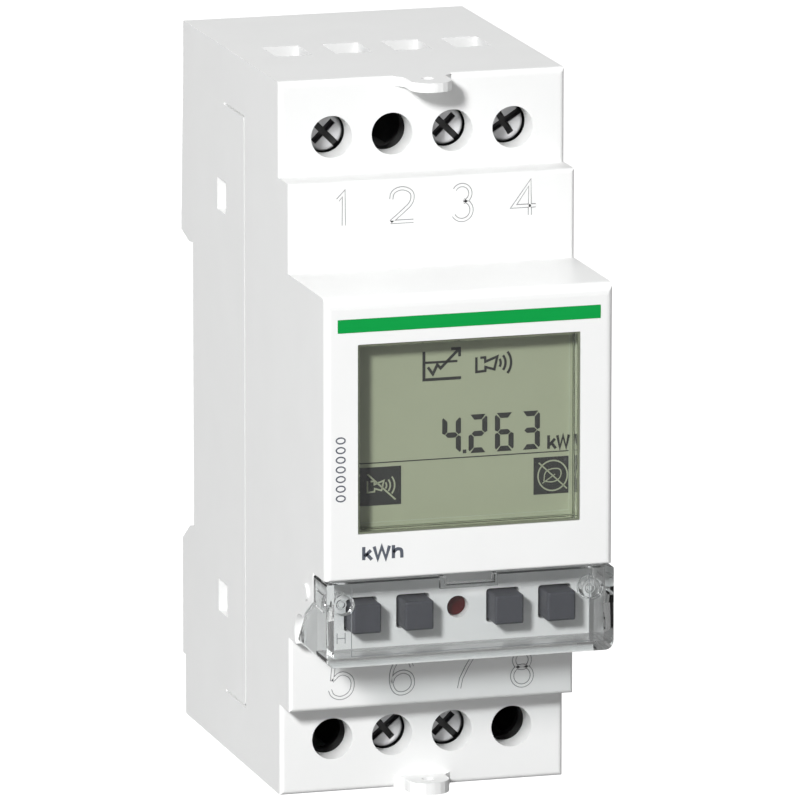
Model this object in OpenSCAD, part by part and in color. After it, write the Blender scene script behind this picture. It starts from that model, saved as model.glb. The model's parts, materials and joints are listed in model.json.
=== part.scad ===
// Two-module rail-mounted electric meter with rising-clamp terminals.
// The origin is the centre of the rail seat: +Y points to the rail, +Z up, -Y is the front.

/* [Housing] */
// Width of the housing, two 18 mm modules
body_w = 36; // [36:1:37]
// Height of the top face above the rail's centre line
top_z = 45.2; // [45:0.1:46]
// Depth of the bottom face below the rail's centre line
bottom_z = -43.2; // [-44:0.1:-43]
// Distance from the rail seat to the front face
front_depth = 60; // [59.8:0.1:60.4]
// Distance from the rail seat to the numbered shoulders
shoulder_depth = 44.2; // [44:0.1:44.6]
// Distance from the rail seat to the terminal faces
terminal_depth = 40; // [39.9:0.1:40.2]
// Height of the raised front that shows through a panel window
window_h = 45; // [45:0.1:45.2]
// Wall thickness of the shells
wall = 1.8; // [1.6:0.1:1.9]

/* [Terminals] */
// Distance between neighbouring terminals
pitch = 7.6; // [7.6:0.05:7.7]
// Radius of the screwdriver access holes
access_r = 2.57; // [2.5:0.01:2.65]
// Height of the upper terminal screws
upper_z = 38.2; // [38:0.1:38.4]
// Height of the lower terminal screws
lower_z = -36.5; // [-36.7:0.1:-36.3]
// How far a clamp cage rises when its screw is driven home
cage_travel = 6; // [3:0.5:6]

/* [Display] */
// Width of the display window
display_w = 27.8; // [27:0.1:28]
// Height of the display window
display_h = 23.2; // [22.4:0.1:23.4]
// Height of the display window's centre
display_z = 5.2; // [5:0.1:5.4]
// Depth of the display glass behind the front face
lcd_depth = 3.3; // [3:0.1:3.6]

/* [Buttons] */
// Distance from the rail seat to the floor of the button recess
recess_depth = 54.8; // [54.6:0.1:55]
// Side of a square button cap
cap_w = 3.6; // [3.2:0.05:3.7]
// Height of the button row
button_z = -17.35; // [-17.5:0.05:-17.2]
// Press travel of a button
button_travel = 0.8; // [0.4:0.1:0.8]

/* [Rail clip] */
// How far the rail clip is pulled down to free the rail
clip_travel = 4.5; // [3:0.5:4.5]

/* [Hidden] */
$fn = 48;

half_w = body_w / 2;
step_upper = [33.5, 22.5];
step_lower = [-31.8, -22.5];
panel_bottom = -12;
back_y = 3.8;
inner_x = half_w - wall;

seam_y = -24.2;
seam_gap = 0.3;
seam_z = [-35.6, 38];
seam_visible_y = -15.1;

terminal_x = [-1.5 * pitch, -0.5 * pitch, 0.5 * pitch, 1.5 * pitch];
upper_used = [0, 2, 3];
lower_used = [1, 2];
face_wall = 3.5;
entry_w = 4.6;
entry_y = [-23.6, -17.1];

button_x = [-12.2, -5.65, 5.65, 12.2];
hole_w = 4.15;
led_r = 1.35;

board_y = -48;
upper_boss = [13.9, 19.3];
lower_boss = [13.2, -11.9];
post_x = 12.6;
post_z = [-27, 28];
boss_r = 1.1;
thread_r = 0.6;

pivot = [-49.2, -21];
pivot_r = 0.8;
cheek_in = 16.9;
cheek_gap = 0.25;

lcd_y = lcd_depth - front_depth;
lcd_layer = 0.6;
cap_y = -recess_depth - 3;
flange_y = [-52.9, -52.1];
switch_y = [-50.2, -48.4];

carrier_y = [-33, -14.6];
cage_wall = 1.4;

snap_z = [26.4, -24.3];
clip_half = 5.6;
clip_top = -16.3;
clip_y = [1.3, 4.7];
stop_z = [-38.2, -36.6];
spring_r = 1.15;
spring_wire = 0.22;
spring_turns = 6;
spring_y = 2.9;
spring_solid = 4.7;
clip_window_z = [-39.6, stop_z[1] + spring_solid + clip_travel];
spring_z = [stop_z[1] + 0.25, clip_window_z[1] - 0.25];
ring_steps = 14;
ring_sides = 6;

// ---------- shared shapes ----------

function unit(v) = v / norm(v);
function turned(v, a) = [v[0] * cos(a) - v[1] * sin(a), v[0] * sin(a) + v[1] * cos(a)];

// Points of one corner: an arc of the corner's own radius, or the corner itself
function corner(a, p, b, r, steps) =
    r <= 0 ? [p] :
    let (u = unit(a - p),
         w = unit(b - p),
         half = acos(u * w) / 2,
         centre = p + unit(u + w) * r / sin(half),
         start = p + u * r / tan(half) - centre,
         way = cross(u, w) > 0 ? -1 : 1)
    [for (i = [0:steps]) centre + turned(start, way * (180 - 2 * half) * i / steps)];

// An outline from [x, y, radius] corners
function rounded(c, steps = 5) =
    let (n = len(c))
    [for (i = [0:n - 1])
        let (a = c[(i + n - 1) % n], p = c[i], b = c[(i + 1) % n])
        each corner([a[0], a[1]], [p[0], p[1]], [b[0], b[1]], p[2], steps)];

// Box from its low corner to its high corner
module span(lo, hi) {
    translate(lo) cube(hi - lo);
}

// Extrudes a [y, z] outline along X
module along_x(points, x0, x1) {
    translate([x0, 0, 0])
        rotate([90, 0, 90])
            linear_extrude(x1 - x0) polygon(points);
}

// Extrudes an [x, z] outline along Y
module along_y(points, y0, y1) {
    translate([0, y1, 0])
        rotate([90, 0, 0])
            linear_extrude(y1 - y0) polygon(points);
}

// Cylinder along +Y
module rod_y(x, z, r, y0, y1) {
    translate([x, y1, z]) rotate([90, 0, 0]) cylinder(h = y1 - y0, r = r);
}

// Cylinder along +X
module rod_x(y, z, r, x0, x1) {
    translate([x0, y, z]) rotate([0, 90, 0]) cylinder(h = x1 - x0, r = r);
}

// Square with rounded corners in [x, z]
function pad_outline(x, z, w, h, r) =
    rounded([[x - w / 2, z - h / 2, r], [x + w / 2, z - h / 2, r],
             [x + w / 2, z + h / 2, r], [x - w / 2, z + h / 2, r]], 3);

module both_sides() {
    children();
    mirror([1, 0, 0]) children();
}

// One stepped block of the housing with rounded front edges
module block(y, z0, z1, r_low, r_top, r_side) {
    intersection() {
        along_x(rounded([[y, z0, r_low], [back_y, z0, 0.4], [back_y, z1, 0.4], [y, z1, r_top]]),
                -half_w, half_w);
        translate([0, 0, bottom_z - 1])
            linear_extrude(top_z - bottom_z + 2)
                polygon(rounded([[-half_w, y, r_side], [half_w, y, r_side],
                                 [half_w, back_y + 1, 0], [-half_w, back_y + 1, 0]]));
    }
}

// ---------- housing ----------

module cover_outer() {
    block(-terminal_depth, bottom_z, top_z, 0.6, 0.8, 0.6);
    block(-shoulder_depth, step_lower[0], step_upper[0], 0.5, 0.5, 0.5);
    block(-front_depth, panel_bottom, window_h / 2, 0.3, 1.4, 0.8);
    block(-recess_depth, step_lower[1], panel_bottom + 1, 0.6, 0, 0.3);
}

module cover_cavity() {
    behind = back_y + 1;
    span([-inner_x, -terminal_depth + face_wall, bottom_z + 2], [inner_x, behind, top_z - 2]);
    span([-inner_x, -shoulder_depth + wall, step_lower[0] + wall],
         [inner_x, behind, step_upper[0] - wall]);
    span([-inner_x, -front_depth + 2, panel_bottom + 1.6], [inner_x, behind, window_h / 2 - 2]);
    span([-inner_x + 1.6, -recess_depth + 1.6, step_lower[1] + wall],
         [inner_x - 1.6, behind, panel_bottom + 2]);
}

// Side view of the flap's cheek, grown by g for its pocket in the cover
function cheek_outline(g) =
    [[-front_depth - 0.6 - 4 * g, panel_bottom - 0.25 + g],
     [-recess_depth - 0.15 + g, panel_bottom - 0.25 + g],
     [-recess_depth - 0.15 + g, -15.6],
     [-51 + g, -18.2 + g],
     [-47.4 + 1.4 * g, step_lower[1] - 4 * g],
     [-front_depth - 0.6 - 4 * g, step_lower[1] - 4 * g]];

module seal_tab(z0, z1, reach, hole_y) {
    difference() {
        translate([0, 0, z0])
            linear_extrude(z1 - z0)
                polygon(rounded([[-3.6, -terminal_depth + 1, 0], [-3.6, -terminal_depth, 0.8],
                                 [-2.6, -terminal_depth - 1, 0.8], [-2.6, -reach, 2.4],
                                 [2.6, -reach, 2.4], [2.6, -terminal_depth - 1, 0.8],
                                 [3.6, -terminal_depth, 0.8], [3.6, -terminal_depth + 1, 0]]));
        translate([0, hole_y, z0 - 1]) cylinder(h = z1 - z0 + 2, r = 0.75);
    }
}

// Snap arm inside each wing, with a sloped tooth in the wing's window
module snap_arm(z) {
    span([inner_x - 1.3, seam_y + 1, z - 1.7], [inner_x - 0.15, -10.5, z + 1.7]);
    translate([0, 0, z - 1.6])
        linear_extrude(3.2)
            polygon([[inner_x - 0.3, -15.4], [half_w - 0.4, -15.4],
                     [half_w - 0.7, -14.6], [inner_x - 0.3, -12.4]]);
}

module front_cover() color("whitesmoke") {
    difference() {
        union() {
            difference() {
                cover_outer();
                cover_cavity();
            }
            both_sides() {
                rod_y(upper_boss[0], upper_boss[1], boss_r, -front_depth + 1.5, board_y);
                rod_y(lower_boss[0], lower_boss[1], boss_r, -recess_depth + 1.3, board_y);
                // lip that closes the seam from inside
                span([inner_x - 1.3, -27.5, seam_z[0] + 5],
                     [inner_x + 0.2, seam_y - seam_gap, seam_z[1] - 6]);
                span([inner_x - 1.3, seam_y - 0.4, seam_z[0] + 5],
                     [inner_x - 0.15, seam_y + 1.2, seam_z[1] - 6]);
                for (z = snap_z) {
                    snap_arm(z);
                }
                // nub over the flap's cheek
                rod_x(-51.9, -15, 1, half_w - 0.5, half_w + 0.3);
            }
            seal_tab(top_z - 1.15, top_z, 45.8, -42.3);
            seal_tab(bottom_z, bottom_z + 1.5, 44.9, -42.6);
        }
        // display window
        along_y(pad_outline(0, display_z, display_w, display_h, 0.15),
                -front_depth - 1, -front_depth + 3);
        // shallow bed for the stripe
        span([-16.4, -front_depth - 1, 18.3], [16.4, -front_depth + 0.25, 19.95]);
        // terminals
        for (x = terminal_x) {
            for (z = [upper_z, lower_z]) {
                rod_y(x, z, access_r, -terminal_depth - 1, -terminal_depth + face_wall + 1);
            }
            span([x - entry_w / 2, entry_y[0], bottom_z - 1], [x + entry_w / 2, entry_y[1], bottom_z + 3]);
            span([x - entry_w / 2, entry_y[0], top_z - 3], [x + entry_w / 2, entry_y[1], top_z + 1]);
        }
        // buttons and light
        for (x = button_x) {
            along_y(pad_outline(x, button_z, hole_w, hole_w, 0.4), -recess_depth - 1, -recess_depth + 3);
        }
        rod_y(0, button_z + 0.1, led_r, -recess_depth - 1, -recess_depth + 3);
        // screw holes in the board bosses
        both_sides() {
            for (boss = [upper_boss, lower_boss]) {
                rod_y(boss[0], boss[1], thread_r + 0.06, board_y - 5, board_y + 1);
            }
        }
        both_sides() {
            // pocket of the flap's cheek and the sweep of its rear tip
            along_x(cheek_outline(cheek_gap), cheek_in - cheek_gap, half_w + 1);
            rod_x(pivot[0], pivot[1], 2.62, cheek_in - cheek_gap, half_w + 1);
            rod_x(pivot[0], pivot[1], pivot_r + 0.06, 15.4, half_w + 1);
            // room for the rail clip in the bottom strip
            span([-0.1, 0.9, bottom_z - 1], [clip_half + 1.5, back_y + 1, bottom_z + 2.5]);
            // side notch that the rear base's wing fills
            span([inner_x, seam_y - seam_gap, seam_z[0]], [half_w + 1, back_y + 1, seam_z[1]]);
            // open ends of the groove round the wing
            span([half_w - 0.5, seam_y - seam_gap, seam_z[1] - 0.01],
                 [half_w + 1, seam_visible_y, seam_z[1] + seam_gap]);
            span([half_w - 0.5, seam_y - seam_gap, seam_z[0] - seam_gap],
                 [half_w + 1, seam_visible_y, seam_z[0] + 0.01]);
        }
    }
}

module rear_base() color("white") {
    plate_x = inner_x;
    difference() {
        union() {
            // back plate between the cover's top and bottom strips
            along_x([[-2, bottom_z + 2.02], [-2, 18.5], [1.8, 22], [1.8, top_z - 2.02],
                     [back_y, top_z - 2.02], [back_y + 0.1, seam_z[1]],
                     [5, 18.5], [5, 14.6], [3.45, 14.6], [1.3, 17.7],
                     [-0.4, 17.9], [-0.4, -18.1], [1.4, -18.5], [5, -20.8],
                     [5, seam_z[0]], [back_y, seam_z[0] - 0.6], [back_y, bottom_z + 2.02]],
                    -plate_x, plate_x);
            // raised seat that rests on the rail
            span([-13, -0.5, -15.6], [13, 0, 14.2]);
            both_sides() wing();
        }
        clip_channel();
        // relief between the two halves of the upper hook
        span([-6, 0.2, 14], [6, 6, 17.2]);
    }
    // stop that the clip's spring stands on
    span([-1.6, 1, stop_z[0]], [1.6, 4.4, stop_z[1]]);
    // posts under the main board
    for (x = [-post_x, post_x]) {
        for (z = post_z) {
            post(x, z);
        }
    }
}

module post(x, z) {
    difference() {
        rod_y(x, z, 1.8, -6.4, -1.9);
        rod_y(x, z, thread_r + 0.06, -6.5, -2.5);
    }
}

// Side wing that fills the cover's notch, with two snap windows
module wing() {
    edge = 0.5;
    difference() {
        along_x(rounded([[seam_y, seam_z[0], edge], [5, seam_z[0], 0], [5, 14.6, 0], [3.45, 14.6, 0],
                         [1.3, 17.7, 0], [5, 18.6, 0], [back_y + 0.1, seam_z[1], 0],
                         [seam_y, seam_z[1], edge]], 4),
                inner_x, half_w);
        // rail notch through the wing
        along_x([[-0.4, -18.1], [1.4, -18.5], [5.2, -20.95], [6, -20.95], [6, 14.6], [3.45, 14.6],
                 [1.3, 17.7], [-0.4, 17.9]], inner_x - 1, half_w + 1);
        for (z = snap_z) {
            span([inner_x - 1, -16, z - 2], [half_w + 1, -12, z + 2]);
        }
    }
}

// Channel in the rear base that the clip slides in, with side grooves for its runners
module clip_channel() {
    span([-clip_half - 0.2, 1.1, bottom_z - 1], [clip_half + 0.2, 6, -18]);
    span([-clip_half - 1.3, 1.1, bottom_z - 1], [clip_half + 1.3, 2.7, -20]);
}

module din_clip() color("gainsboro") {
    difference() {
        union() {
            along_x([[clip_y[0], bottom_z + 0.1], [clip_y[1], bottom_z + 0.1], [clip_y[1], -20.2],
                     [3.6, clip_top - 0.9], [3.2, clip_top], [clip_y[0], -17.9]],
                    -clip_half, clip_half);
            // runners in the side grooves
            span([-clip_half - 1.1, clip_y[0], -39], [clip_half + 1.1, 2.5, -24.8]);
        }
        // window that holds the spring
        span([-1.9, clip_y[0] - 1, clip_window_z[0]], [1.9, clip_y[1] + 1, clip_window_z[1]]);
        // screwdriver slot at the foot
        span([-3.6, clip_y[0] + 1.1, bottom_z - 1], [3.6, clip_y[1] - 1, bottom_z + 1]);
        // grip ribs
        for (i = [0:3]) {
            span([-clip_half - 1, clip_y[1] - 0.35, -26 + i * 1.4],
                 [clip_half + 1, clip_y[1] + 1, -25.4 + i * 1.4]);
        }
    }
}

// Point k of the coil's ring at angle t
function coil_point(t, k) =
    let (a = 360 * k / ring_sides,
         reach = spring_r + spring_wire * cos(a),
         rise = (spring_z[1] - spring_z[0]) * t / (360 * spring_turns))
    [reach * cos(t), spring_y + reach * sin(t), spring_z[0] + rise + spring_wire * sin(a)];

module clip_spring() color("silver") {
    rings = spring_turns * ring_steps;
    points = [for (i = [0:rings]) for (k = [0:ring_sides - 1]) coil_point(360 * i / ring_steps, k)];
    sides = [for (i = [0:rings - 1]) for (k = [0:ring_sides - 1])
             [i * ring_sides + k, (i + 1) * ring_sides + k,
              (i + 1) * ring_sides + (k + 1) % ring_sides, i * ring_sides + (k + 1) % ring_sides]];
    first = [for (k = [0:ring_sides - 1]) k];
    last = [for (k = [ring_sides - 1:-1:0]) rings * ring_sides + k];
    polyhedron(points, concat(sides, [first, last]));
}

// ---------- front parts ----------

module green_stripe() color("seagreen") {
    span([-16.38, -front_depth - 0.05, 18.32], [16.38, -front_depth + 0.25, 19.93]);
}

module display_window() color("lightcyan", 0.4) {
    along_y(pad_outline(0, display_z, display_w - 0.54, display_h - 0.54, 0.1),
            -front_depth + 0.3, -front_depth + 2.4);
}

// Frame in the window: a sleeve round the pane, and a flange behind the cover's wall
module display_bezel() color("darkslategray") {
    difference() {
        union() {
            along_y(pad_outline(0, display_z, display_w - 0.06, display_h - 0.06, 0.12),
                    -front_depth + 0.2, -front_depth + 2.5);
            along_y(pad_outline(0, display_z, display_w + 3, display_h + 2.4, 0.4),
                    -front_depth + 2, lcd_y);
        }
        along_y(pad_outline(0, display_z, display_w - 0.5, display_h - 0.5, 0.1),
                -front_depth - 1, lcd_y + 1);
    }
}

module lcd_front_glass() color("darkseagreen") {
    span([-14.6, lcd_y, display_z - 12.9], [14.6, lcd_y + lcd_layer, display_z + 12.9]);
}

module lcd_rear_glass() color("darkseagreen") {
    span([-14.6, lcd_y + lcd_layer, display_z - 11.8],
         [14.6, lcd_y + 2 * lcd_layer, display_z + 11.8]);
}

module backlight_guide() color("ivory") {
    front = lcd_y + 2 * lcd_layer;
    span([-14.4, front, display_z - 11.7], [14.4, front + 2.4, display_z + 11.7]);
    for (x = [-9, 9]) {
        for (z = [-5, 15]) {
            rod_y(x, z, 0.9, front + 2.4, board_y);
        }
    }
}

module zebra_strips() color("dimgray") {
    for (z = [display_z - 12.4, display_z + 12.4]) {
        span([-12.4, lcd_y + lcd_layer, z - 0.5], [12.4, board_y, z + 0.5]);
    }
}

// Key: a bevelled cap, a flange that keeps it in the cover, and a stem to its switch
module button_cap(x) {
    bevel = 0.3;
    color("slategray") {
        difference() {
            along_y(pad_outline(x, button_z, cap_w, cap_w, 0.25), cap_y, flange_y[0]);
            for (side = [0:3]) {
                translate([x, cap_y, button_z]) rotate([0, 90 * side, 0])
                    translate([cap_w / 2, 0, 0]) rotate([0, 0, 45])
                        cube([bevel, bevel, 6], center = true);
            }
        }
        span([x - 2.35, flange_y[0], button_z - 2.35], [x + 2.35, flange_y[1], button_z + 2.35]);
        rod_y(x, button_z, 1, flange_y[1], -51.1);
    }
}

// Plunger whose tip stops just short of the bottom of its switch when the key is pressed
module switch_plunger(x) {
    color("black") rod_y(x, button_z, 0.85, -51.1, switch_y[1] - button_travel - 0.1);
}

module button_1() { button_cap(button_x[0]); }
module button_2() { button_cap(button_x[1]); }
module button_3() { button_cap(button_x[2]); }
module button_4() { button_cap(button_x[3]); }
module switch_plunger_1() { switch_plunger(button_x[0]); }
module switch_plunger_2() { switch_plunger(button_x[1]); }
module switch_plunger_3() { switch_plunger(button_x[2]); }
module switch_plunger_4() { switch_plunger(button_x[3]); }

module switch_bodies() color("gray") {
    for (x = button_x) {
        difference() {
            span([x - 2.3, switch_y[0], button_z - 2.3], [x + 2.3, board_y, button_z + 2.3]);
            rod_y(x, button_z, 0.92, switch_y[0] - 1, switch_y[1]);
        }
    }
}

module status_lens() color("darkred") {
    translate([0, 0, button_z + 0.1]) {
        rod_y(0, 0, led_r - 0.05, -recess_depth + 1.3, -recess_depth + 1.6);
        rod_y(0, 0, 2.2, -recess_depth + 1.6, -recess_depth + 2.4);
        rod_y(0, 0, 1.1, -recess_depth + 2.4, -49.4);
    }
}

module status_led() color("red") {
    span([-0.8, -49.2, button_z - 0.5], [0.8, board_y, button_z + 0.7]);
}

module flap() color("aliceblue", 0.4) {
    front = -front_depth - 0.6;
    top = panel_bottom - 0.25;
    low = step_lower[1];
    outline = rounded([[-half_w, low, 1.05], [half_w, low, 1.05],
                       [half_w, top, 0.2], [-half_w, top, 0.2]]);
    difference() {
        union() {
            // front panel and floor of the flap
            along_y(outline, front, front + 1);
            along_x(rounded([[front, low, 0.4], [-55.2, low, 0], [-55.2, low + 1, 0],
                             [front, low + 1, 0]]), -cheek_in - 0.1, cheek_in + 0.1);
            // thick rim round the finger notch
            span([-3.6, front, top - 1.5], [3.6, front + 1.6, top]);
            both_sides() {
                intersection() {
                    along_x(cheek_outline(0), cheek_in, half_w);
                    along_y(outline, front - 1, pivot[0] + 3);
                }
                // pivot pin held in the cover's wall
                rod_x(pivot[0], pivot[1], pivot_r, 15.6, cheek_in + 0.1);
                // stop boss behind the panel
                rod_y(15.6, -15, 1.3, front + 0.9, front + 3);
            }
        }
        // finger notch
        span([-3.05, front - 1, top - 0.95], [3.05, front + 3, top + 1]);
        // moulding grooves on the cheeks
        both_sides() {
            for (z = [-13.7, -15.8]) {
                span([half_w - 0.25, front + 1.4, z - 0.15], [half_w + 1, -56, z + 0.15]);
            }
        }
    }
}

// ---------- boards and their parts ----------

module display_board() color("darkgreen") {
    difference() {
        along_y([[-15.6, -10], [-14.4, -10], [-14.4, -20.2], [14.4, -20.2], [14.4, -10], [15.6, -10],
                 [15.6, 20.3], [-15.6, 20.3]], board_y, board_y + 1.6);
        both_sides() {
            for (boss = [upper_boss, lower_boss]) {
                rod_y(boss[0], boss[1], thread_r + 0.1, board_y - 1, board_y + 2);
            }
        }
    }
}

module link_board() color("darkgreen") {
    span([12.4, -43.8, -19], [14, -10.6, 19.6]);
}

module main_board() color("darkgreen") {
    difference() {
        span([-14.8, -8, -31.2], [14.8, -6.4, 32.8]);
        for (x = [-post_x, post_x]) {
            for (z = post_z) {
                rod_y(x, z, 0.9, -9, -6);
            }
        }
    }
}

module pin_headers() color("gold") {
    for (z = [-9.4:2.54:16]) {
        span([12.9, -46.4, z], [13.5, -43.8, z + 0.64]);
        span([12.9, -10.6, z], [13.5, -8, z + 0.64]);
    }
}

// Pan-head board screw with a cross: way is +1 when its head is behind the board
module board_screw(x, z, seat_y, way) {
    tip = seat_y - way * 5;
    head = seat_y + way * 1.3;
    difference() {
        union() {
            rod_y(x, z, thread_r, min(seat_y, tip), max(seat_y, tip));
            rod_y(x, z, 1.1, min(seat_y, head), max(seat_y, head));
        }
        for (turn = [0, 90]) {
            translate([x, head, z]) rotate([0, turn, 0]) cube([1.6, 1.2, 0.35], center = true);
        }
    }
}

module board_screws() color("silver") {
    both_sides() {
        for (boss = [upper_boss, lower_boss]) {
            board_screw(boss[0], boss[1], board_y + 1.6, 1);
        }
        for (z = post_z) {
            board_screw(post_x, z, -8, -1);
        }
    }
}

module supply_transformer() color("peru") {
    span([-11, -25, -9], [7, -21, 7]);
    span([-11, -12, -9], [7, -8, 7]);
    span([-9, -21, -7], [5, -12, 5]);
}

module output_relay() color("royalblue") {
    span([-10.6, -24.6, 10.4], [1.8, -8, 28.2]);
}

module film_capacitor() color("goldenrod") {
    along_y(pad_outline(6.8, 16.4, 7.4, 16, 0.8), -22, -9);
    for (z = [11.4, 21.4]) {
        rod_y(6.8, z, 0.35, -9, -8);
    }
}

module electrolytic_capacitors() color("midnightblue") {
    for (x = [-7.6, 1.6]) {
        rod_y(x, -18, 3.9, -27, -9);
        rod_y(x, -18, 3.4, -9, -8);
    }
}

module varistor() color("teal") {
    rod_y(9.4, -20, 0.4, -14, -8);
    rod_y(9.4, -14.8, 0.4, -14, -8);
    rod_x(-16, -17.4, 4.1, 8.2, 10.6);
}

module fuse_resistor() color("lightblue") {
    translate([-10, -10.2, -24.4]) rotate([0, 90, 0]) cylinder(h = 7, r = 1.4);
    rod_x(-10.2, -24.4, 0.35, -11.4, -10);
    rod_x(-10.2, -24.4, 0.35, -3, -1.6);
    span([-11.75, -10.55, -24.75], [-11.05, -8, -24.05]);
    span([-1.95, -10.55, -24.75], [-1.25, -8, -24.05]);
}

module current_shunt() color("chocolate") {
    span([2.4, -9.2, 29.6], [10.4, -8, 30.9]);
}

module measuring_chip() color("black") {
    span([11.2, -30, -4], [12.4, -23, 3]);
}

module crystal() color("silver") {
    translate([11.2, -34, -1]) rotate([0, 90, 0]) cylinder(h = 1.2, r = 1.6);
}

module backup_cell() color("silver") {
    rod_y(0, 1, 5, -46.4, -43.2);
}

// ---------- terminals ----------

// Moulded insert that parts the terminals: z is the screw height, way points to the outside
module carrier(z, way, used) {
    outer = z + way * 4.4;
    inner = z - way * 4.0;
    lo = min(outer, inner);
    hi = max(outer, inner);
    shelf = min(inner, inner - way * 1);
    half = 2 * pitch + 0.5;
    difference() {
        union() {
            span([-half, carrier_y[0] - 1, min(lo, shelf)], [half, carrier_y[0], max(hi, shelf + 1)]);
            span([-half, carrier_y[0], shelf], [half, carrier_y[1], shelf + 1]);
            span([-half, carrier_y[1], min(lo, shelf)], [half, carrier_y[1] + 0.8, max(hi, shelf + 1)]);
            for (i = [-2:2]) {
                span([i * pitch - 0.45, carrier_y[0] - 0.1, lo],
                     [i * pitch + 0.45, carrier_y[1] + 0.1, hi]);
            }
        }
        // a neck hole for each screw, a wide one where there is none
        for (i = [0:3]) {
            rod_y(terminal_x[i], z, len(search(i, used)) > 0 ? 1.95 : 2.7,
                  carrier_y[0] - 2, carrier_y[0] + 1);
        }
        // slots for the contact bars
        for (i = used) {
            span([terminal_x[i] - 2.1, -25.1, shelf - 1], [terminal_x[i] + 2.1, -23.7, shelf + 2]);
        }
    }
}

module terminal_carrier_top() {
    color("lightgray") carrier(upper_z, 1, upper_used);
}

module terminal_carrier_bottom() {
    color("lightgray") carrier(lower_z, -1, lower_used);
}

// Bar through a cage, with a leg to the main board
module contact_bar(x, z, way) {
    leg = z - way * 6.3;
    far = z + way * 3.2;
    span([x - 1.9, -24.9, min(leg - way * 0.5, far)], [x + 1.9, -23.9, max(leg - way * 0.5, far)]);
    span([x - 1.9, -24, leg - 0.5], [x + 1.9, -8, leg + 0.5]);
}

module contact_bars() color("darkkhaki") {
    for (i = upper_used) {
        contact_bar(terminal_x[i], upper_z, 1);
    }
    for (i = lower_used) {
        contact_bar(terminal_x[i], lower_z, -1);
    }
}

// Captive combination-head screw with a round-edged head; spin turns its slot and cross
module terminal_screw(x, z, spin) {
    head_r = 2.5;
    head_h = 2.1;
    slot_w = 0.8;
    slot_depth = 1.1;
    color("darkgray")
        difference() {
            union() {
                translate([x, -34.1, z]) rotate([90, 0, 0])
                    rotate_extrude()
                        polygon(rounded([[0, 0, 0], [head_r, 0, 0.15], [head_r, head_h, 0.5],
                                         [0, head_h, 0]]));
                rod_y(x, z, 1.7, -34.1, -25);
            }
            translate([x, -34.1 - head_h, z]) rotate([0, spin, 0]) {
                cube([2 * head_r + 1, 2 * slot_depth, slot_w], center = true);
                cube([slot_w, 2 * slot_depth, 3.5], center = true);
            }
        }
}

// Rectangular ring that lifts the wire against its bar, open to the wire's side
module clamp_cage(x, z) {
    front = carrier_y[0] + 0.5 + cage_travel;
    color("lightsteelblue")
        difference() {
            span([x - 2.95, front, z - 3.4], [x + 2.95, carrier_y[1] - cage_wall, z + 3.4]);
            span([x - 2.2, front + cage_wall, z - 4], [x + 2.2, carrier_y[1] - cage_wall - 1, z + 4]);
            rod_y(x, z, 1.75, front - 1, front + cage_wall + 1);
        }
}

module terminal_screw_1() { terminal_screw(terminal_x[0], upper_z, 45); }
module terminal_screw_3() { terminal_screw(terminal_x[2], upper_z, 45); }
module terminal_screw_4() { terminal_screw(terminal_x[3], upper_z, -32); }
module terminal_screw_6() { terminal_screw(terminal_x[1], lower_z, -40); }
module terminal_screw_7() { terminal_screw(terminal_x[2], lower_z, 45); }
module clamp_cage_1() { clamp_cage(terminal_x[0], upper_z); }
module clamp_cage_3() { clamp_cage(terminal_x[2], upper_z); }
module clamp_cage_4() { clamp_cage(terminal_x[3], upper_z); }
module clamp_cage_6() { clamp_cage(terminal_x[1], lower_z); }
module clamp_cage_7() { clamp_cage(terminal_x[2], lower_z); }

front_cover();
rear_base();
display_window();
display_bezel();
lcd_front_glass();
lcd_rear_glass();
backlight_guide();
zebra_strips();
green_stripe();
flap();
button_1();
button_2();
button_3();
button_4();
switch_plunger_1();
switch_plunger_2();
switch_plunger_3();
switch_plunger_4();
switch_bodies();
status_lens();
status_led();
display_board();
link_board();
main_board();
pin_headers();
board_screws();
supply_transformer();
output_relay();
film_capacitor();
electrolytic_capacitors();
varistor();
fuse_resistor();
current_shunt();
measuring_chip();
crystal();
backup_cell();
terminal_carrier_top();
terminal_carrier_bottom();
contact_bars();
terminal_screw_1();
terminal_screw_3();
terminal_screw_4();
terminal_screw_6();
terminal_screw_7();
clamp_cage_1();
clamp_cage_3();
clamp_cage_4();
clamp_cage_6();
clamp_cage_7();
din_clip();
clip_spring();
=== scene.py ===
"""Looks for the two-module rail-mounted electric meter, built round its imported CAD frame."""

import json
import math

import bpy
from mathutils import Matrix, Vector


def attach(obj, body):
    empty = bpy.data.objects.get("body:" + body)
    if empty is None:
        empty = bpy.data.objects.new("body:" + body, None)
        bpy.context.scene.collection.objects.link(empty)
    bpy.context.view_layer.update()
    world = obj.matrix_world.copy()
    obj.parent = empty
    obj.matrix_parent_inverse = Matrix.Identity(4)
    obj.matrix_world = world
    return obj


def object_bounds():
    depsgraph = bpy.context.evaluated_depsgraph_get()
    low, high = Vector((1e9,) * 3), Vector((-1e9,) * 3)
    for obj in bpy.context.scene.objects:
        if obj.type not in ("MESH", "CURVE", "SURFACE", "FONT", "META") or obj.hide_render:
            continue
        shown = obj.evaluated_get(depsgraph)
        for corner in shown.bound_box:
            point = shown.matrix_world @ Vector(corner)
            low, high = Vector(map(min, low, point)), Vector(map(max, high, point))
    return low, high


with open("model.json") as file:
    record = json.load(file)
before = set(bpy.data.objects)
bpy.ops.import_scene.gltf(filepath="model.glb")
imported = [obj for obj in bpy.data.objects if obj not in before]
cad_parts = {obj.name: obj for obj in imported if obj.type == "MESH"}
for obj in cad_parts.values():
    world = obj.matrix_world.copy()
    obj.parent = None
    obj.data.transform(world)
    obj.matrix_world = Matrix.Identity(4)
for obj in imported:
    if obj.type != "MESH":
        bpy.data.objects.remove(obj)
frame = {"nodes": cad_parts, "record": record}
cad_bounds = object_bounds()
nodes = frame["nodes"]

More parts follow.
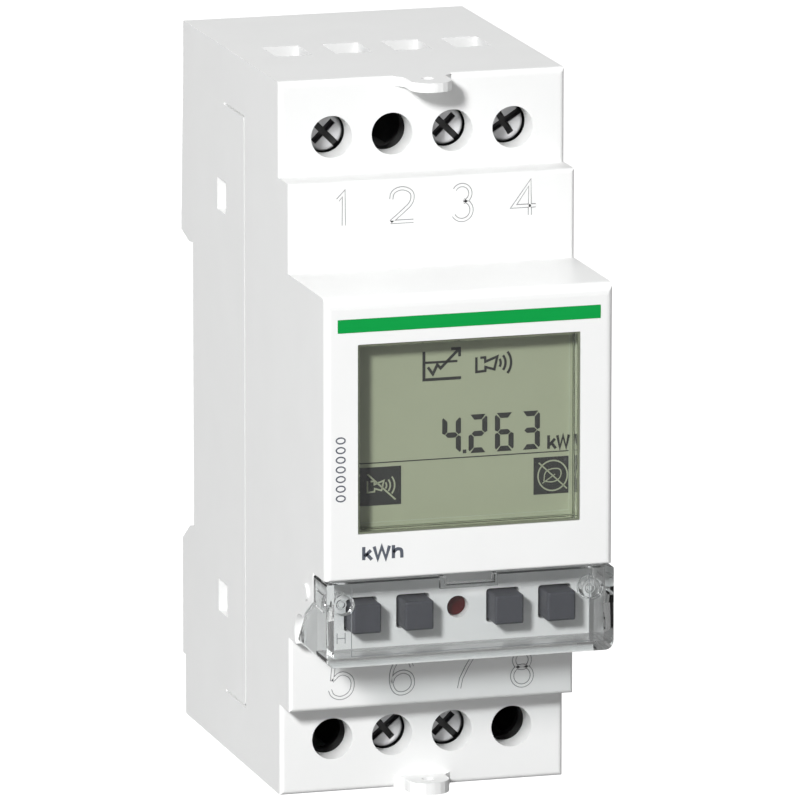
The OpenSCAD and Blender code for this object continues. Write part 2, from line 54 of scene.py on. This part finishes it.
MM = 0.001

# Faces that the marks stand on, and the plane behind which the screws' slots are given painted shade, in
# millimetres from the rail seat, negative towards the front.
LCD_FACE = -56.7
SHOULDER_FACE = -44.2
FRONT_FACE = -60.0
FLAP_FACE = -60.6
SLOT_SHADE = -36.15

THROUGH_CLEAR = (0.86, 0.87, 0.87, 1)
TERMINALS = (1, 3, 4, 6, 7)


# ---------- materials ----------

def new_material(name):
    """An empty node material, with its tree and its Principled shader."""
    mat = bpy.data.materials.new(name)
    mat.use_nodes = True
    tree = mat.node_tree
    return mat, tree, tree.nodes["Principled BSDF"]


def noise(tree, size_mm, detail=3.0):
    """Noise whose grains are about size_mm across, in the row frame."""
    place = tree.nodes.new("ShaderNodeTexCoord")
    node = tree.nodes.new("ShaderNodeTexNoise")
    node.inputs["Scale"].default_value = 1.0 / (size_mm * MM)
    node.inputs["Detail"].default_value = detail
    tree.links.new(place.outputs["Object"], node.inputs["Vector"])
    return node.outputs["Fac"]


def spread(tree, source, low, high):
    """Maps the middle of a noise onto low to high."""
    node = tree.nodes.new("ShaderNodeMapRange")
    node.inputs["From Min"].default_value = 0.3
    node.inputs["From Max"].default_value = 0.7
    node.inputs["To Min"].default_value = low
    node.inputs["To Max"].default_value = high
    tree.links.new(source, node.inputs["Value"])
    return node.outputs["Result"]


def tint(tree, source, colour, share):
    """The colour, up to share darker where source is low."""
    node = tree.nodes.new("ShaderNodeMix")
    node.data_type = "RGBA"
    node.inputs["A"].default_value = [c * (1 - share) for c in colour] + [1]
    node.inputs["B"].default_value = list(colour) + [1]
    tree.links.new(source, node.inputs["Factor"])
    return node.outputs["Result"]


def bump(tree, shader, source, height_mm):
    """Bumps the surface by the source, height_mm from low to high."""
    node = tree.nodes.new("ShaderNodeBump")
    node.inputs["Strength"].default_value = 1.0
    node.inputs["Distance"].default_value = height_mm * MM
    tree.links.new(source, node.inputs["Height"])
    tree.links.new(node.outputs["Normal"], shader.inputs["Normal"])


def solid(name, colour, rough=(0.35, 0.5), grain_mm=0.25, grain_height=0.003, metal=0.0,
          shade=0.05, spec=0.5):
    """A moulded, painted or metal surface with a fine grain and uneven gloss."""
    mat, tree, shader = new_material(name)
    shader.inputs["Metallic"].default_value = metal
    shader.inputs["Specular IOR Level"].default_value = spec
    fine = noise(tree, grain_mm)
    broad = noise(tree, grain_mm * 30)
    tree.links.new(tint(tree, spread(tree, broad, 0, 1), colour, shade), shader.inputs["Base Color"])
    tree.links.new(spread(tree, fine, *rough), shader.inputs["Roughness"])
    bump(tree, shader, fine, grain_height)
    return mat


def clear(name, colour, rough, ior=1.5):
    """Clear plastic: it bends what is seen through it, and lets the lamps shine straight through."""
    mat, tree, shader = new_material(name)
    shader.inputs["Transmission Weight"].default_value = 1.0
    shader.inputs["IOR"].default_value = ior
    shader.inputs["Base Color"].default_value = list(colour) + [1]
    wave = noise(tree, 6)
    tree.links.new(spread(tree, wave, rough * 0.5, rough * 1.5), shader.inputs["Roughness"])
    path = tree.nodes.new("ShaderNodeLightPath")
    through = tree.nodes.new("ShaderNodeBsdfTransparent")
    through.inputs["Color"].default_value = THROUGH_CLEAR
    mix = tree.nodes.new("ShaderNodeMixShader")
    either = tree.nodes.new("ShaderNodeMath")
    either.operation = "MAXIMUM"
    tree.links.new(path.outputs["Is Shadow Ray"], either.inputs[0])
    tree.links.new(path.outputs["Is Diffuse Ray"], either.inputs[1])
    tree.links.new(either.outputs["Value"], mix.inputs["Fac"])
    tree.links.new(shader.outputs["BSDF"], mix.inputs[1])
    tree.links.new(through.outputs["BSDF"], mix.inputs[2])
    tree.links.new(mix.outputs["Shader"], tree.nodes["Material Output"].inputs["Surface"])
    return mat


MATERIALS = {
    "white_plastic": solid("white_plastic", (0.91, 0.915, 0.91), (0.32, 0.42), 0.3, 0.002, shade=0.02),
    "clear_plastic": clear("clear_plastic", (0.97, 0.98, 0.98), 0.03),
    "olive_plastic": solid("olive_plastic", (0.17, 0.19, 0.13), (0.4, 0.55)),
    "display_glass": solid("display_glass", (0.45, 0.485, 0.335), (0.3, 0.36), 0.1, 0.0005, shade=0.02),
    "light_guide": solid("light_guide", (0.85, 0.87, 0.8)),
    "elastomer": solid("elastomer", (0.05, 0.05, 0.055), (0.6, 0.8)),
    "green_band": solid("green_band", (0.003, 0.34, 0.062), (0.35, 0.45), spec=0.15),
    "switch_metal": solid("switch_metal", (0.5, 0.5, 0.52), (0.3, 0.5), metal=1.0),
    "red_lens": solid("red_lens", (0.07, 0.001, 0.001), (0.2, 0.3), spec=0.2),
    "led": solid("led", (0.8, 0.7, 0.5)),
    "circuit_board": solid("circuit_board", (0.02, 0.13, 0.05), (0.25, 0.4)),
    "gold_pins": solid("gold_pins", (0.8, 0.55, 0.2), (0.2, 0.35), metal=1.0),
    "zinc_steel": solid("zinc_steel", (0.6, 0.6, 0.62), (0.25, 0.45), metal=1.0),
    "transformer_tape": solid("transformer_tape", (0.6, 0.35, 0.06)),
    "relay_case": solid("relay_case", (0.02, 0.08, 0.35)),
    "film_box": solid("film_box", (0.55, 0.4, 0.04)),
    "capacitor_sleeve": solid("capacitor_sleeve", (0.02, 0.02, 0.06)),
    "varistor_coating": solid("varistor_coating", (0.02, 0.1, 0.3)),
    "resistor_body": solid("resistor_body", (0.15, 0.4, 0.5)),
    "shunt_alloy": solid("shunt_alloy", (0.5, 0.3, 0.15), metal=1.0),
    "black_plastic": solid("black_plastic", (0.015, 0.015, 0.015)),
    "crystal_can": solid("crystal_can", (0.7, 0.7, 0.7), metal=1.0),
    "cell_can": solid("cell_can", (0.65, 0.65, 0.65), metal=1.0),
    "grey_plastic": solid("grey_plastic", (0.05, 0.05, 0.05), (0.4, 0.6)),
    "tinned_brass": solid("tinned_brass", (0.6, 0.55, 0.35), metal=1.0),
    "clip_plastic": solid("clip_plastic", (0.75, 0.76, 0.74), (0.3, 0.45)),
    "spring_steel": solid("spring_steel", (0.5, 0.5, 0.52), metal=1.0),
    "button_plastic": solid("button_plastic", (0.075, 0.077, 0.09), (0.45, 0.6), 0.2, 0.002, spec=0.3),
    "screw_steel": solid("screw_steel", (0.68, 0.68, 0.69), (0.4, 0.6), 0.4, 0.01, metal=0.25, shade=0.25),
    "cage_steel": solid("cage_steel", (0.55, 0.56, 0.58), (0.3, 0.45), metal=1.0),
    "display_ink": solid("display_ink", (0.028, 0.029, 0.027), (0.4, 0.5)),
    # Painted highlight: a paler colour for the polariser's edge, where it catches the light.
    "display_edge_highlight": solid("display_edge_highlight", (0.5, 0.55, 0.42), (0.4, 0.5)),
    # Painted shade: a grey for the outline round the raised terminal numbers.
    "number_shade_outline": solid("number_shade_outline", (0.24, 0.24, 0.25), (0.5, 0.6)),
    "mark_ink": solid("mark_ink", (0.1, 0.112, 0.14), (0.45, 0.6)),
    "flap_line": solid("flap_line", (0.25, 0.26, 0.27), (0.3, 0.4)),
}


def paint_shade_behind(name, plane_mm, share, fade_mm=0.25):
    """Paints shade into a material behind an upright plane, such as the shade inside the slots of the
    screws.
    """
    tree = MATERIALS[name].node_tree
    shader = tree.nodes["Principled BSDF"]
    base = shader.inputs["Base Color"].links[0].from_socket
    place = tree.nodes.new("ShaderNodeTexCoord")
    split = tree.nodes.new("ShaderNodeSeparateXYZ")
    tree.links.new(place.outputs["Object"], split.inputs["Vector"])
    level = tree.nodes.new("ShaderNodeMapRange")
    level.inputs["From Min"].default_value = plane_mm * MM
    level.inputs["From Max"].default_value = (plane_mm + fade_mm) * MM
    tree.links.new(split.outputs["Y"], level.inputs["Value"])
    mix = tree.nodes.new("ShaderNodeMix")
    mix.data_type = "RGBA"
    mix.inputs["B"].default_value = [share, share, share, 1]
    tree.links.new(level.outputs["Result"], mix.inputs["Factor"])
    tree.links.new(base, mix.inputs["A"])
    tree.links.new(mix.outputs["Result"], shader.inputs["Base Color"])


# Painted shade: the screw steel turns dark behind SLOT_SHADE, inside the slots, where shade falls.
paint_shade_behind("screw_steel", SLOT_SHADE, 0.07)


# ---------- the CAD nodes ----------

SLOT_OF = {row["node"]: row["material_slot"] for row in frame["record"]["subparts"]}

WELD_MM = 0.002
FLAT_ANGLE = 0.5
SHARP_ANGLE = 32

# How far the moulded or formed edges are rounded, in millimetres. The other nodes stay sharp.
EDGES = {"front_cover": 0.22, "rear_base": 0.25, "flap": 0.15, "din_clip": 0.2,
         "display_window": 0.1, "display_bezel": 0.04}
EDGES.update({"button_%d" % key: 0.12 for key in range(1, 5)})
EDGES.update({"terminal_screw_%d" % place: 0.08 for place in TERMINALS})


def finish_cad(name, edge_mm):
    """Gives a CAD node its material, and rounds its sharp edges by edge_mm."""
    piece = nodes[name]
    piece.data.materials.clear()
    piece.data.materials.append(MATERIALS[SLOT_OF[name]])
    weld = piece.modifiers.new("weld", "WELD")
    weld.merge_threshold = WELD_MM * MM
    if edge_mm:
        flat = piece.modifiers.new("flat", "DECIMATE")
        flat.decimate_type = "DISSOLVE"
        flat.angle_limit = math.radians(FLAT_ANGLE)
        bevel = piece.modifiers.new("round", "BEVEL")
        bevel.width = edge_mm * MM
        bevel.segments = 3
        bevel.limit_method = "ANGLE"
        bevel.angle_limit = math.radians(SHARP_ANGLE)
        bevel.harden_normals = False
        bevel.use_clamp_overlap = True
    return piece


def smooth(piece):
    """Smooth shading by angle, as a modifier."""
    bpy.context.view_layer.objects.active = piece
    piece.select_set(True)
    bpy.ops.object.shade_auto_smooth(angle=math.radians(SHARP_ANGLE))
    piece.select_set(False)


for name in nodes:
    smooth(finish_cad(name, EDGES.get(name, 0.0)))


# ---------- flat marks ----------

MITRE_LIMIT = 0.45


def ribbon(points, width):
    """Mitred quads, in millimetres, that make a line of that width through [x, z] points."""
    spots = [Vector(p) for p in points]
    sides = []
    for i, spot in enumerate(spots):
        ways = []
        if i > 0:
            ways.append((spot - spots[i - 1]).normalized())
        if i < len(spots) - 1:
            ways.append((spots[i + 1] - spot).normalized())
        across = sum((Vector((-w.y, w.x)) for w in ways), Vector((0, 0)))
        across = across.normalized()
        lean = max(across.dot(Vector((-ways[0].y, ways[0].x))), MITRE_LIMIT)
        sides.append((spot + across * width / 2 / lean, spot - across * width / 2 / lean))
    return [[sides[i][0], sides[i][1], sides[i + 1][1], sides[i + 1][0]] for i in range(len(spots) - 1)]


def soft(points, times=2):
    """The same path with its corners cut, and its ends kept."""
    for _ in range(times):
        cut = [points[0]]
        for (ax, az), (bx, bz) in zip(points, points[1:]):
            cut.append((ax * 0.75 + bx * 0.25, az * 0.75 + bz * 0.25))
            cut.append((ax * 0.25 + bx * 0.75, az * 0.25 + bz * 0.75))
        points = cut + [points[-1]]
    return points


def arc(x, z, radius, start, end, steps=12):
    """Points along an arc, from one angle in degrees to another."""
    turn = [math.radians(start + (end - start) * i / steps) for i in range(steps + 1)]
    return [(x + radius * math.cos(t), z + radius * math.sin(t)) for t in turn]


def moved(path, x, z, size=1.0):
    """The path at another place and size."""
    return [(x + px * size, z + pz * size) for px, pz in path]


def plates(name, outlines, front, depth, slot_name, body="housing"):
    """One piece of flat outlines, in millimetres, that stand on a face towards the front."""
    verts = []
    faces = []
    for outline in outlines:
        area = sum(p[0] * q[1] - q[0] * p[1] for p, q in zip(outline, outline[1:] + outline[:1]))
        loop = list(outline) if area > 0 else list(reversed(outline))
        base = len(verts)
        count = len(loop)
        verts += [(p[0] * MM, front * MM, p[1] * MM) for p in loop]
        verts += [(p[0] * MM, (front + depth) * MM, p[1] * MM) for p in loop]
        faces.append([base + i for i in range(count)])
        faces.append([base + count + i for i in reversed(range(count))])
        for i in range(count):
            after = (i + 1) % count
            faces.append([base + i, base + count + i, base + count + after, base + after])
    mesh = bpy.data.meshes.new(name)
    mesh.from_pydata(verts, [], faces)
    mesh.materials.append(MATERIALS[slot_name])
    piece = bpy.data.objects.new(name, mesh)
    bpy.context.scene.collection.objects.link(piece)
    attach(piece, body)
    return piece


def box(x0, z0, x1, z1):
    """The outline of an upright rectangle."""
    return [(x0, z0), (x1, z0), (x1, z1), (x0, z1)]


# ---------- what the display shows ----------

INK_DEPTH = 0.05
INK_PROUD = 0.04
DIGITS_LEFT = -2.66
DIGIT_STEP = 3.3
GLASS_LEFT, GLASS_RIGHT = -12.9, 13.2


def segments(x, lit):
    """The lit bars of a seven-bar digit whose left edge is at x."""
    wide, low, high, thick, gap, cut = 2.34, 2.14, 6.86, 0.64, 0.07, 0.16
    mid = (low + high) / 2
    right = x + wide
    upper = [(x, mid + gap + thick / 4), (x + thick / 2, mid + gap), (x + thick, mid + thick / 2 + gap),
             (x + thick, high - thick - gap), (x + cut, high - cut - gap), (x, high - 2 * cut - gap)]
    lower = [(px, 2 * mid - pz) for px, pz in upper]
    top = [(x + cut + gap, high), (right - cut - gap, high), (right - thick - gap, high - thick),
           (x + thick + gap, high - thick)]
    bars = {"f": upper, "e": lower,
            "b": [(2 * x + wide - px, pz) for px, pz in upper],
            "c": [(2 * x + wide - px, pz) for px, pz in lower],
            "a": top, "d": [(px, 2 * mid - pz) for px, pz in top],
            "g": [(x + thick / 2 + gap, mid), (x + thick + gap, mid + thick / 2),
                  (right - thick - gap, mid + thick / 2), (right - thick / 2 - gap, mid),
                  (right - thick - gap, mid - thick / 2), (x + thick + gap, mid - thick / 2)]}
    return [bars[bar] for bar in lit]


def reading():
    """The four digits 4263, the point after the first, and the unit kW."""
    marks = []
    for i, lit in enumerate(("fgbc", "abged", "afgcde", "abgcd")):
        marks += segments(DIGITS_LEFT + DIGIT_STEP * i, lit)
    marks.append(box(-0.08, 2.18, 0.36, 2.62))
    for path in ([(0, 0), (0, 1.66)], [(0.08, 0.44), (0.8, 1.2)], [(0.3, 0.8), (0.9, 0)],
                 [(1.1, 1.6), (1.42, 0.05), (1.82, 1.5), (2.2, 0.05), (2.55, 1.6)]):
        marks += ribbon(moved(path, 10.68, 2.06), 0.34)
    return marks


def trend_symbol():
    """Two axes, a level line, and a rising line with its arrow head."""
    marks = ribbon([(-4.95, 14.92), (-4.95, 11.47), (-0.3, 11.48)], 0.36)
    marks += ribbon([(-4.8, 13.55), (-0.77, 13.55)], 0.28)
    marks += ribbon([(-4.45, 12.98), (-3.83, 12.12), (-3.28, 13.24), (-2.88, 12.78), (-0.62, 14.98)], 0.34)
    marks += ribbon([(-1.55, 15.08), (-0.5, 15.08), (-0.5, 14.1)], 0.34)
    return marks


def horn(x, z, size, width):
    """A horn with three sound waves."""
    shape = [(0.5, 1.72), (1.1, 1.72), (1.12, 1.2), (2.62, 1.75), (2.25, 0.2), (1.15, 0.55), (1.12, 0.08),
             (0, 0), (0, 1.8)]
    waves = [arc(2.2, 0.95, 0.85, -34, 34, 6), arc(2.2, 0.95, 1.45, -38, 38, 8),
             arc(2.2, 0.95, 2.15, -38, 38, 8)]
    marks = []
    for path in [shape] + waves:
        marks += ribbon(moved(path, x, z, size), width)
    return marks


def crossed_leaf():
    """A leaf on its stalk, in a circle with a line across it."""
    marks = ribbon(arc(11.2, -1.25, 1.85, 0, 360, 32), 0.17)
    marks += ribbon([(9.45, 0.4), (13.0, -2.95)], 0.17)
    leaf = soft([(10.1, -1.9), (10.2, -0.7), (11.2, -0.35), (12.3, -0.5), (12.2, -1.6), (11.3, -2.1),
                 (10.1, -1.9)])
    marks += ribbon(leaf, 0.13)
    marks += ribbon([(9.9, -2.15), (11.5, -1.1)], 0.11)
    return marks


def make_display():
    """The dark marks, the pale symbols on the two dark fields, and the edge of the polariser, drawn paler
    than the glass along the bottom and the right as a painted highlight.
    """
    dark = reading() + trend_symbol() + horn(1.6, 12.05, 1.0, 0.3)
    dark += ribbon([(GLASS_LEFT, 1.68), (GLASS_RIGHT, 1.68)], 0.12)
    dark.append(box(GLASS_LEFT, -3.55, -7.8, 1.15))
    dark.append(box(8.8, -3.5, GLASS_RIGHT, 1.06))
    plates("display_marks", dark, LCD_FACE - INK_PROUD, INK_DEPTH, "display_ink")
    pale = horn(-12.0, -1.9, 0.78, 0.19) + ribbon([(-12.0, 0.35), (-8.5, -2.95)], 0.2) + crossed_leaf()
    plates("display_pale_marks", pale, LCD_FACE - INK_PROUD - 0.02, INK_DEPTH, "display_glass")
    # The polariser's edge, along the bottom and the right only, paler than the glass: a painted highlight.
    rim = ribbon([(GLASS_LEFT, -5.6), (GLASS_RIGHT + 0.05, -5.6), (GLASS_RIGHT + 0.05, 16.0)], 0.12)
    rim += ribbon([(GLASS_LEFT, -5.95), (GLASS_RIGHT + 0.2, -5.95)], 0.07)
    plates("display_polariser_highlight", rim, LCD_FACE - INK_PROUD, INK_DEPTH, "display_edge_highlight")


# ---------- numbers and marks on the housing ----------

DIGITS = {
    1: [[(-0.65, 3.15), (0.1, 3.95), (0.1, 0.0)]],
    2: [soft([(-1.35, 2.9), (-1.2, 3.8), (0.0, 4.3), (1.35, 3.7), (1.3, 2.4), (0.2, 1.4), (-1.4, 0.1)]),
        [(-1.45, 0.1), (1.45, 0.1)]],
    3: [arc(0, 3.1, 1.05, 150, -80, 20), arc(0, 1.05, 1.2, 80, -150, 22)],
    4: [[(0.7, 0.0), (0.7, 4.0), (-1.35, 1.15), (1.45, 1.15)]],
    5: [[(1.15, 3.95), (-0.95, 3.95), (-1.15, 2.0)],
        soft([(-1.15, 2.0), (0.0, 3.1), (1.5, 2.3), (1.4, 0.5), (0.1, -0.3), (-1.1, 0.1), (-1.4, 0.9)])],
    6: [soft([(1.25, 3.1), (0.9, 4.1), (-0.4, 4.2), (-1.3, 3.0), (-1.45, 1.2), (-0.8, -0.1), (0.5, -0.15),
              (1.45, 0.7), (1.3, 2.1), (0.2, 2.7), (-1.0, 2.2), (-1.3, 1.3)])],
    7: [[(-1.4, 3.95), (1.35, 3.95), (0.5, 2.6), (-0.2, 1.2), (-0.45, 0.0)]],
    8: [arc(0, 3.0, 1.0, 0, 360, 24), arc(0, 1.05, 1.25, 0, 360, 28)],
}

UPPER_FOOT, LOWER_FOOT = 28.1, -30.2


def make_numbers():
    """The terminal numbers: a white face on a slightly wider grey line, painted shade that shows as an
    outline round the raised face.
    """
    places = [(1, -11.2, UPPER_FOOT), (2, -3.8, UPPER_FOOT), (3, 3.75, UPPER_FOOT), (4, 11.6, UPPER_FOOT),
              (5, -11.5, LOWER_FOOT), (6, -3.8, LOWER_FOOT), (7, 3.9, LOWER_FOOT), (8, 11.45, LOWER_FOOT)]
    edge = []
    face = []
    for number, x, z in places:
        for path in DIGITS[number]:
            edge += ribbon(moved(path, x, z), 0.5)
            face += ribbon(moved(path, x, z), 0.31)
    # The grey outline is painted shade round the raised white faces.
    plates("number_shade_outlines", edge, SHOULDER_FACE - 0.02, 0.05, "number_shade_outline")
    plates("number_faces", face, SHOULDER_FACE - 0.06, 0.08, "white_plastic")


def make_labels():
    """The unit kWh under the display, and a row of zeros up the left side of the front."""
    marks = []
    for path in ([(-13.2, -9.55), (-13.2, -7.95)], [(-13.1, -9.1), (-12.3, -8.4)],
                 [(-12.85, -8.8), (-12.2, -9.55)],
                 [(-11.9, -7.98), (-11.45, -9.5), (-10.95, -8.05), (-10.45, -9.5), (-10.0, -7.98)],
                 [(-9.5, -9.55), (-9.5, -7.95)],
                 soft([(-9.5, -8.85), (-9.1, -8.4), (-8.5, -8.5), (-8.45, -9.0), (-8.45, -9.55)])):
        marks += ribbon(path, 0.4)
    half_high, half_wide, steps = 0.55, 0.36, 18
    for i in range(7):
        middle = -1.85 + 1.18 * i
        turn = [math.radians(360 / steps * k) for k in range(steps + 1)]
        zero = [(-16.05 + half_high * math.cos(t), middle + half_wide * math.sin(t)) for t in turn]
        marks += ribbon(zero, 0.16)
    plates("front_marks", marks, FRONT_FACE - 0.03, 0.06, "mark_ink")


# ---------- moulded details of the flap ----------

RING_Y = -57.6


def ring(name, x, z, radius, thick):
    """A raised ring on the flap's front wall."""
    bpy.ops.mesh.primitive_torus_add(major_radius=radius * MM, minor_radius=thick * MM,
                                     major_segments=40, minor_segments=12)
    piece = bpy.context.active_object
    piece.name = name
    piece.location = (x * MM, RING_Y * MM, z * MM)
    piece.rotation_euler = (math.radians(90), 0, 0)
    for face in piece.data.polygons:
        face.use_smooth = True
    piece.data.materials.append(MATERIALS["clear_plastic"])
    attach(piece, "flap")


def make_flap_details():
    """Two rings at each end, one moulded letter, and the lines where the flap's walls meet."""
    for side, label in ((-1, "left"), (1, "right")):
        ring("flap_boss_ring_" + label, side * 15.6, -15.2, 1.3, 0.16)
        ring("flap_boss_core_" + label, side * 15.6, -15.2, 0.5, 0.16)
    lines = ribbon([(-16.7, -18.2), (-16.7, -19.5)], 0.09) + ribbon([(-15.7, -18.2), (-15.7, -19.5)], 0.09)
    lines += ribbon([(-16.7, -18.85), (-15.7, -18.85)], 0.09)
    lines += ribbon([(-14.9, -12.9), (-14.9, -21.2), (14.9, -21.2), (14.9, -12.9)], 0.08)
    plates("flap_mould_lines", lines, FLAP_FACE - 0.04, 0.05, "flap_line", "flap")


make_display()
make_numbers()
make_labels()
make_flap_details()


# ---------- camera, lights and floor ----------

AZIMUTH, ELEVATION = -16.33, 12.28
MIDDLE = (0, -0.03, 0)
DIM, FULL = 0.24, 1.0
FLOOR_HALF = 12


def make_camera():
    """The camera at the angle that the meter is seen from, with a very long lens."""
    data = bpy.data.cameras.new("camera")
    data.sensor_width = 36
    data.lens = 500.4
    data.clip_end = 50
    camera = bpy.data.objects.new("camera", data)
    bpy.context.scene.collection.objects.link(camera)
    camera.location = (-0.373416, -1.304910, 0.292144)
    azimuth = math.radians(AZIMUTH)
    elevation = math.radians(ELEVATION)
    ahead = Vector((-math.sin(azimuth) * math.cos(elevation), math.cos(azimuth) * math.cos(elevation),
                    -math.sin(elevation)))
    camera.rotation_euler = ahead.to_track_quat("-Z", "Y").to_euler()
    bpy.context.scene.camera = camera


def area_light(name, place, size, power):
    """A round lamp, aimed at the middle of the meter."""
    data = bpy.data.lights.new(name, "AREA")
    data.shape = "DISK"
    data.size = size
    data.energy = power
    lamp = bpy.data.objects.new(name, data)
    bpy.context.scene.collection.objects.link(lamp)
    lamp.location = place
    lamp.rotation_euler = (Vector(MIDDLE) - Vector(place)).to_track_quat("-Z", "Y").to_euler()


def make_world():
    """A plain white world, which lights the meter less than it shows to the camera."""
    world = bpy.data.worlds.new("studio")
    bpy.context.scene.world = world
    world.use_nodes = True
    tree = world.node_tree
    sky = tree.nodes["Background"]
    sky.inputs["Color"].default_value = (1, 1, 1, 1)
    path = tree.nodes.new("ShaderNodeLightPath")
    level = tree.nodes.new("ShaderNodeMapRange")
    level.inputs["To Min"].default_value = DIM
    level.inputs["To Max"].default_value = FULL
    tree.links.new(path.outputs["Is Camera Ray"], level.inputs["Value"])
    tree.links.new(level.outputs["Result"], sky.inputs["Strength"])


def make_floor():
    """A floor at the meter's lowest point, white to the camera and grey to the meter."""
    low = cad_bounds[0][2]
    mesh = bpy.data.meshes.new("floor")
    mesh.from_pydata([(x, y, low) for x, y in box(-FLOOR_HALF, -FLOOR_HALF, FLOOR_HALF, FLOOR_HALF)], [],
                     [(0, 1, 2, 3)])
    floor = bpy.data.objects.new("floor", mesh)
    bpy.context.scene.collection.objects.link(floor)
    paint = solid("floor_paint", (0.3, 0.3, 0.3), (0.7, 0.8), 2.0, 0.0, shade=0.01)
    tree = paint.node_tree
    shader = tree.nodes["Principled BSDF"]
    shader.inputs["Emission Color"].default_value = (1, 1, 1, 1)
    path = tree.nodes.new("ShaderNodeLightPath")
    tree.links.new(path.outputs["Is Camera Ray"], shader.inputs["Emission Strength"])
    mesh.materials.append(paint)


bpy.context.scene.view_settings.view_transform = "Standard"
make_camera()
make_world()
area_light("key", (-0.72, -1.05, 0.62), 0.22, 19)
area_light("side", (-1.3, 0.0, 0.15), 0.8, 2.2)
area_light("top", (0.0, 0.6, 1.3), 0.8, 7)
make_floor()
